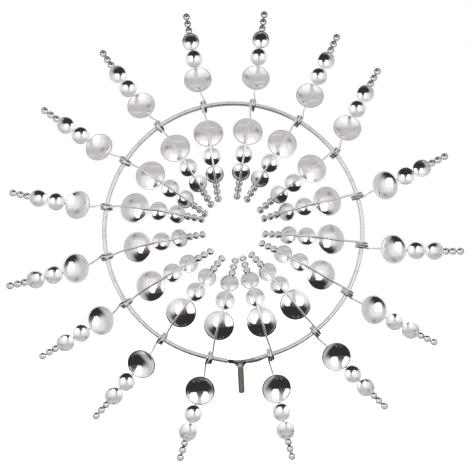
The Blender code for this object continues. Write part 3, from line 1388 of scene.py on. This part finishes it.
@dataclass
class WandForge:
    """Builds the sixteen wands from one arm shape and three cups."""

    arm: ArmShape = field(default_factory=ArmShape)
    nugget: Nugget = Nugget()
    # Painted shade on the coils.
    grime: CoilShade = CoilShade()
    big: CupSize = CupSize(
        "big_cup", radius=9.5 * MM, depth=2.4 * MM, wall=0.4 * MM, lip=0.55 * MM,
        segments=72, rings=120, edge_steps=3, edge_band=0.2 * MM, edge_stain=0.35,
    )
    medium: CupSize = CupSize(
        "medium_cup", radius=5.75 * MM, depth=1.65 * MM, wall=0.38 * MM, lip=0.4 * MM,
        segments=48, rings=90, edge_steps=2, edge_band=0.25 * MM, edge_stain=0.6,
    )
    small: CupSize = CupSize(
        "small_cup", radius=2.35 * MM, depth=1.4 * MM, wall=0.3 * MM, lip=0.0,
        segments=20, rings=24, edge_steps=0, edge_band=0.65 * MM, edge_stain=0.8,
    )
    wire_roundness: int = 4
    wire_sharp: float = 50
    coil_turns: int = 2
    coil_pitch: float = 1.6 * MM
    coil_slack: float = 0.75 * MM
    slack_fullness: float = 0.5
    coil_swell: float = 0.2 * MM
    swell_fullness: float = 0.4
    coil_steps: int = 28
    coil_tint: float = 7 * MM
    arm_step: float = 1.3 * MM
    straighten: float = 22 * MM

    @property
    def coil_width(self) -> float:
        """How far apart the two arms leave the coil."""
        return self.coil_turns * self.coil_pitch

    def build(self) -> list[Piece]:
        """Models the cups once and then every wand.

        Returns:
            The wires, the small cups and the big cups of all wands.
        """
        chrome = MirrorChrome().material()
        wire_metal = BrightWire().material()
        models = {size: size.model() for size in (self.big, self.medium, self.small)}
        for model in models.values():
            model.data.materials.append(chrome)
        pieces = []
        for joint in frame["joints"]:
            seat = WandSeat.of_joint(joint, self.arm)
            wire = self._wire(seat)
            wire.data.materials.append(wire_metal)
            pieces.append(Piece(wire, seat.body, "wand_wire", (seat.body,)))
            pieces.append(Piece(self._lesser_cups(seat, models), seat.body, "bowl_chrome"))
            pieces += [self._big_cup(seat, side, models[self.big]) for side in Side]
        for model in models.values():
            bpy.data.objects.remove(model)
        return pieces

    def _wire(self, seat: WandSeat) -> bpy.types.Object:
        """One wand's wire, from its inner tip, twice round the hoop, to its outer tip, with its welds.

        Args:
            seat: Where the wand hangs.

        Returns:
            The wire in its place.
        """
        outer, inner = (self._arm_line(seat, side) for side in Side)
        coil = self._coil_line()
        shares = [(index + 1) / (len(coil) + 1) for index in range(len(coil))]
        swell = [self.coil_swell * math.sin(math.pi * share) ** self.swell_fullness for share in shares]
        extras = [0.0] * len(inner) + swell + [0.0] * len(outer)
        radii = [self.arm.wire_radius + extra for extra in extras]
        wire = Bench.wire("wire", inner[::-1] + coil + outer, radii, self.wire_roundness)
        welds = self._weld_places(seat)
        wire = Bench.join([wire, *(self.nugget.model(place) for place in welds)], f"{seat.body}_wire")
        Bench.smooth(wire, self.wire_sharp)
        Bench.heat(wire, [place.translation for place in welds], self.nugget.heat_reach)
        Bench.heat(wire, [Vector()], self.coil_tint)
        wire.data.transform(seat.matrix)
        # Paints shade on the coil.
        self.grime.lay_on(wire, seat)
        return wire

    def _arm_line(self, seat: WandSeat, side: Side) -> list[Vector]:
        """An arm's middle line, drawn aside to the coil's end near the coil.

        Args:
            seat: Where the wand hangs.
            side: Which arm it is.

        Returns:
            The points from the coil to the tip, in the wand's frame.
        """
        arm = self.arm.arm_matrix(side, seat.bend)
        to_coil = Vector((side.value * self.coil_width / 2, 0, self.arm.dip))
        count = round(self.arm.length / self.arm_step)
        points = []
        for index in range(count + 1):
            distance = self.arm.length * index / count
            outwards, forwards, _ = self.arm.station(distance)
            share = eased(1 - distance / self.straighten)
            points.append(arm @ in_plane(outwards, forwards) + to_coil * share)
        return points

    def _coil_line(self) -> list[Vector]:
        """The coil's middle line, loosest half way along.

        Returns:
            The points from the inner arm to the outer arm, in the wand's frame.
        """
        start = math.pi / 2 + self.arm.first_slope
        count = self.coil_turns * self.coil_steps
        points = []
        for index in range(1, count):
            share = index / count
            angle = start - 2 * math.pi * self.coil_turns * share
            slack = self.coil_slack * math.sin(math.pi * share) ** self.slack_fullness
            reach = self.arm.coil_radius + slack
            aside = Vector((self.coil_width * (share - 0.5), 0, 0))
            points.append(in_plane(reach * math.cos(angle), reach * math.sin(angle)) + aside)
        return points

    def _weld_places(self, seat: WandSeat) -> list[Matrix]:
        """Where the big and the medium cups are welded to the wire.

        Args:
            seat: Where the wand hangs.

        Returns:
            The places in the wand's frame.
        """
        shape = self.arm
        lifts = {shape.big_cup: self.nugget.big_lift}
        lifts.update(dict.fromkeys(shape.medium_cups, self.nugget.medium_lift))
        return [
            shape.arm_matrix(side, seat.bend) @ shape.cup_matrix(distance, shape.wire_radius * lift)
            for side in Side
            for distance, lift in lifts.items()
        ]

    def _lesser_cups(self, seat: WandSeat, models: Mapping[CupSize, bpy.types.Object]) -> bpy.types.Object:
        """The medium and small cups of one wand.

        Args:
            seat: Where the wand hangs.
            models: The modelled cups, by their size.

        Returns:
            The cups, joined.
        """
        cups = []
        for side in Side:
            arm = seat.matrix @ self.arm.arm_matrix(side, seat.bend)
            for size, distances in ((self.medium, self.arm.medium_cups), (self.small, self.arm.small_cups)):
                for distance in distances:
                    tip = self.arm.far_medium_tip if distance == self.arm.medium_cups[1] else 0
                    askew = Matrix.Rotation(seat.rolls[side], 4, "Y") @ Matrix.Rotation(tip, 4, "X")
                    place = arm @ self.arm.cup_matrix(distance, self.arm.sink) @ askew
                    cups.append(Bench.copy_to(models[size], "cup", place))
        return Bench.join(cups, f"{seat.body}_cups")

    def _big_cup(self, seat: WandSeat, side: Side, model: bpy.types.Object) -> Piece:
        """A big cup on its wire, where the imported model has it.

        Args:
            seat: Where the wand hangs.
            side: Which arm it is on.
            model: The modelled big cup.

        Returns:
            The cup, riding on its wand.
        """
        node = seat.big_cup_node(side)
        cup = CupSeat.of_node(node)
        along = cup.mouth.cross(seat.across).normalized()
        turn = frame_of(along.cross(cup.mouth), along, cup.mouth)
        place = Matrix.Translation(cup.bottom - cup.mouth * self.arm.cad_gap) @ turn
        return Piece(Bench.copy_to(model, f"{node}_cup", place), seat.body, "bowl_chrome", (node,))


# ---------------------------------------------------------------- studio


class Sky(NamedTuple):
    """A direction from the object, as the world's nodes hold it; its angles are in degrees."""

    book: NodeBook
    direction: Signal
    azimuth: Signal
    aside: Signal
    above: Signal


class Mask:
    """Which directions a panel covers."""

    def over(self, sky: Sky) -> Signal:
        """1 where the panel is and 0 where it isn't."""
        raise NotImplementedError


@dataclass(frozen=True)
class Aside(Mask):
    """A band of angles from the front, to either side: its start, where it is full, and its middle."""

    start: float
    full: float
    middle: float | None = None

    def angle(self, sky: Sky) -> Signal:
        """The angle that the band is measured by."""
        return sky.aside

    def over(self, sky: Sky) -> Signal:
        """1 where the band is full and 0 before its start.

        Args:
            sky: The direction.

        Returns:
            The mask, counted from the band's middle where it has one.
        """
        angle = self.angle(sky)
        if self.middle is not None:
            angle = abs(angle - self.middle)
        return sky.book.step(angle, self.start, self.full)


class Above(Aside):
    """A band of angles above the horizon."""

    def angle(self, sky: Sky) -> Signal:
        """The angle that the band is measured by."""
        return sky.above


@dataclass(frozen=True)
class Oval(Mask):
    """A soft oval on either side of the front, squarer with more power."""

    middle: tuple[float, float]
    reach: tuple[float, float]
    start: float
    full: float
    power: float = 1

    def over(self, sky: Sky) -> Signal:
        """1 inside the oval and 0 outside.

        Args:
            sky: The direction.

        Returns:
            The mask; its start and where it is full are squared shares of the oval's reach.
        """
        shares = [
            (angle - middle) * (1 / reach)
            for angle, middle, reach in zip((sky.aside, sky.above), self.middle, self.reach)
        ]
        aside, above = ((share * share).function("POWER", self.power) for share in shares)
        return sky.book.step(aside + above, self.start, self.full)


@dataclass(frozen=True)
class Wedge(Mask):
    """An upright wedge near the front that leans a little and widens downwards."""

    aside: float = 2
    lean: float = 0.1
    half_width: float = 2.5
    spread: float = 0.5
    softness: float = 2

    def over(self, sky: Sky) -> Signal:
        """1 inside the wedge and 0 outside.

        Args:
            sky: The direction.

        Returns:
            The mask.
        """
        away = abs(sky.azimuth + self.aside - sky.above * self.lean)
        half_width = self.half_width - sky.above * self.spread
        return sky.book.step(away - half_width, self.softness, -self.softness)


@dataclass(frozen=True)
class Flecks(Mask):
    """Scattered flecks."""

    patches: Patches

    def over(self, sky: Sky) -> Signal:
        """1 inside a fleck and 0 outside."""
        return self.patches.over(sky.book, sky.direction)


@dataclass(frozen=True)
class Handover(Mask):
    """One mask that gives way to another."""

    first: Mask
    second: Mask
    change: Mask

    def over(self, sky: Sky) -> Signal:
        """The first mask where the change is 0 and the second where it is 1."""
        change = self.change.over(sky)
        return self.first.over(sky) * (1 - change) + self.second.over(sky) * change


class Fade(NamedTuple):
    """A colour that changes into another where a mask is full."""

    change: Mask
    first: "Colour | Fade"
    second: Colour


@dataclass(frozen=True)
class Panel:
    """A softbox, a flag or a stretch of wall that chrome mirrors."""

    colour: Colour | Fade
    masks: tuple[Mask, ...]
    strength: float = 1.0

    def lay_over(self, below: Signal | Colour, sky: Sky) -> Signal:
        """Lays the panel over what is already there.

        Args:
            below: The colour so far.
            sky: The direction.

        Returns:
            The colour with the panel.
        """
        share = math.prod((mask.over(sky) for mask in self.masks), start=self.strength)
        return sky.book.blend(share, below, self._paint(self.colour, sky))

    def _paint(self, colour: Colour | Fade, sky: Sky) -> Signal | Colour:
        """The panel's own colour in a direction.

        Args:
            colour: A plain colour or a fade.
            sky: The direction.

        Returns:
            The colour.
        """
        if not isinstance(colour, Fade):
            return colour
        return sky.book.blend(colour.change.over(sky), self._paint(colour.first, sky), colour.second)


@dataclass(frozen=True)
class Surround:
    """What the metal mirrors: a pale room, then each panel laid over those before it; angles in degrees."""

    wall: Colour = (0.59, 0.565, 0.555)
    side_wall: Panel = Panel((0.68, 0.665, 0.66), (Aside(55, 95),))
    ceiling: Panel = Panel((0.60, 0.58, 0.57), (Above(50, 75),))
    glow: Panel = Panel((0.93, 0.91, 0.90), (Aside(74, 42), Above(36, 16, middle=0)))
    gap_between_boxes: Panel = Panel((0.68, 0.65, 0.63), (Aside(14, 6), Above(40, 20)))
    lamp_shade: Panel = Panel((0.38, 0.36, 0.35), (Oval((54, 36), (16, 12), 1.6, 0.0),), 0.45)
    lamp_core: Panel = Panel((0.17, 0.155, 0.15), (Oval((56, 37), (7, 5), 1.6, 0.3),), 0.45)
    dark_flag: Panel = Panel(
        (0.034, 0.034, 0.037), (Handover(Above(-13, -24), Above(-6, -36), Aside(34, 52)), Aside(78, 52))
    )
    box_frame: Panel = Panel((0.5, 0.48, 0.47), (Aside(2.4, 0.4, middle=36), Above(24, 12, middle=0)), 0.6)
    softbox: Panel = Panel(
        Fade(Above(-6, 14), (1.5, 1.5, 1.5), (0.99, 0.975, 0.965)),
        (Oval((21.5, 0.5), (14.5, 25), 1.5, 0.6, power=2), Above(31, 6)),
    )
    brown_wedge: Panel = Panel(
        Fade(Above(-4, -20), (0.4, 0.33, 0.3), (0.13, 0.095, 0.08)),
        (Wedge(), Above(6, -8), Above(-30, -24)),
    )
    low_sides: Panel = Panel((0.44, 0.42, 0.41), (Above(-25, -50), Aside(55, 80)))
    underneath: Panel = Panel((0.1, 0.1, 0.1), (Above(-66, -76), Aside(120, 90)))
    ceiling_strip: Panel = Panel((0.9, 0.88, 0.87), (Above(5, 2, middle=63), Aside(50, 20)), 0.5)
    flecks: Panel = Panel(
        (0.5, 0.5, 0.5), (Flecks(Patches(Clouds(3.2, 3, 0.6), 0.52, 0.7)), Above(-50, -60))
    )
    behind: Panel = Panel(
        Fade(
            Above(-18, -46),
            Fade(Above(28, 60), (0.96, 0.96, 0.96), (0.60, 0.59, 0.58)),
            (0.36, 0.355, 0.35),
        ),
        (Aside(98, 125),),
    )

    def colour(self, sky: Sky) -> Signal | Colour:
        """The light's colour in a direction.

        Args:
            sky: The direction.

        Returns:
            The wall's colour with every panel laid over it, in their order.
        """
        colour = self.wall
        for item in fields(self)[1:]:
            colour = getattr(self, item.name).lay_over(colour, sky)
        return colour


@dataclass
class Studio:
    """A pale floor, a pale surround and the soft light of the panels around it."""

    floor_height: float = -75 * MM
    floor_half: float = 40.0
    floor_grey: float = 0.9
    floor_roughness: float = 0.9
    paper: Colour = (1.0, 1.0, 1.0)
    surround: Surround = Surround()

    def build(self) -> None:
        """Makes the floor and the world."""
        self._floor()
        self._world()
        bpy.context.scene.view_settings.view_transform = "Standard"

    def _floor(self) -> None:
        """A plain pale floor, far enough below the lowest cups to stay clear of them."""
        Bench.pick()
        bpy.ops.mesh.primitive_plane_add(size=2 * self.floor_half, location=UP * self.floor_height)
        floor = Bench.settle(Bench.active())
        floor.name = floor.data.name = "floor"
        paper = bpy.data.materials.new("floor_paper")
        paper.use_nodes = True
        shader = paper.node_tree.nodes["Principled BSDF"]
        shader.inputs["Base Color"].default_value = (*[self.floor_grey] * 3, 1)
        shader.inputs["Roughness"].default_value = self.floor_roughness
        shader.inputs["Emission Color"].default_value = (*self.paper, 1)
        shader.inputs["Emission Strength"].default_value = 1.0
        floor.data.materials.append(paper)
        floor.visible_glossy = False

    def _world(self) -> None:
        """The world: paper where it is seen, and the surround where it is mirrored."""
        world = bpy.data.worlds.new("studio")
        bpy.context.scene.world = world
        world.use_nodes = True
        book = NodeBook(world.node_tree)
        direction = book.node("ShaderNodeTexCoord", output="Generated")
        right, back, up = book.parts(direction)
        azimuth = right.function("ARCTAN2", back * -1.0).function("DEGREES")
        sky = Sky(book, direction, azimuth, abs(azimuth), up.function("ARCSINE").function("DEGREES"))
        seen = book.node("ShaderNodeLightPath", output="Is Camera Ray")
        colour = book.blend(seen, self.surround.colour(sky), self.paper)
        book.feed(world.node_tree.nodes["Background"].inputs["Color"], colour)


@dataclass
class View:
    """The camera, a little below the hoop's middle and turned a little; its angles are in degrees."""

    line: HoopLine
    distance: float = 427.8 * MM
    azimuth: float = -1.74
    elevation: float = -7.15
    roll: float = -2.73
    focal_length: float = 50.03
    sensor_width: float = 36
    nearest: float = 10 * MM
    shift: tuple[float, float] = (0.00229, -0.01376)

    def build(self) -> None:
        """Places the camera and makes it the scene's."""
        angles = (self.azimuth, self.elevation, self.roll)
        azimuth, elevation, roll = (math.radians(angle) for angle in angles)
        level = math.cos(elevation)
        back = Vector((math.sin(azimuth) * level, -math.cos(azimuth) * level, math.sin(elevation)))
        across = UP.cross(back).normalized()
        right = across * math.cos(roll) + back.cross(across) * math.sin(roll)
        lens = bpy.data.cameras.new("camera")
        lens.lens = self.focal_length
        lens.sensor_width = self.sensor_width
        lens.shift_x, lens.shift_y = self.shift
        lens.clip_start = self.nearest
        camera = bpy.data.objects.new("camera", lens)
        bpy.context.scene.collection.objects.link(camera)
        place = Matrix.Translation(self.line.centre + back * self.distance)
        camera.matrix_world = place @ frame_of(right, back.cross(right), back)
        bpy.context.scene.camera = camera


# ---------------------------------------------------------------- the whole object


def main() -> None:
    """Builds the object, the studio and the camera."""
    logging.basicConfig(level=logging.INFO, format="%(message)s")
    line = HoopLine.of_joints(frame["joints"])
    pieces = [Hoop(line).build(), *StemFitting(line).build(), *WandForge().build()]
    for piece in pieces:
        piece.hand_over()
    Studio().build()
    View(line).build()


if __name__ == "__main__":
    main()
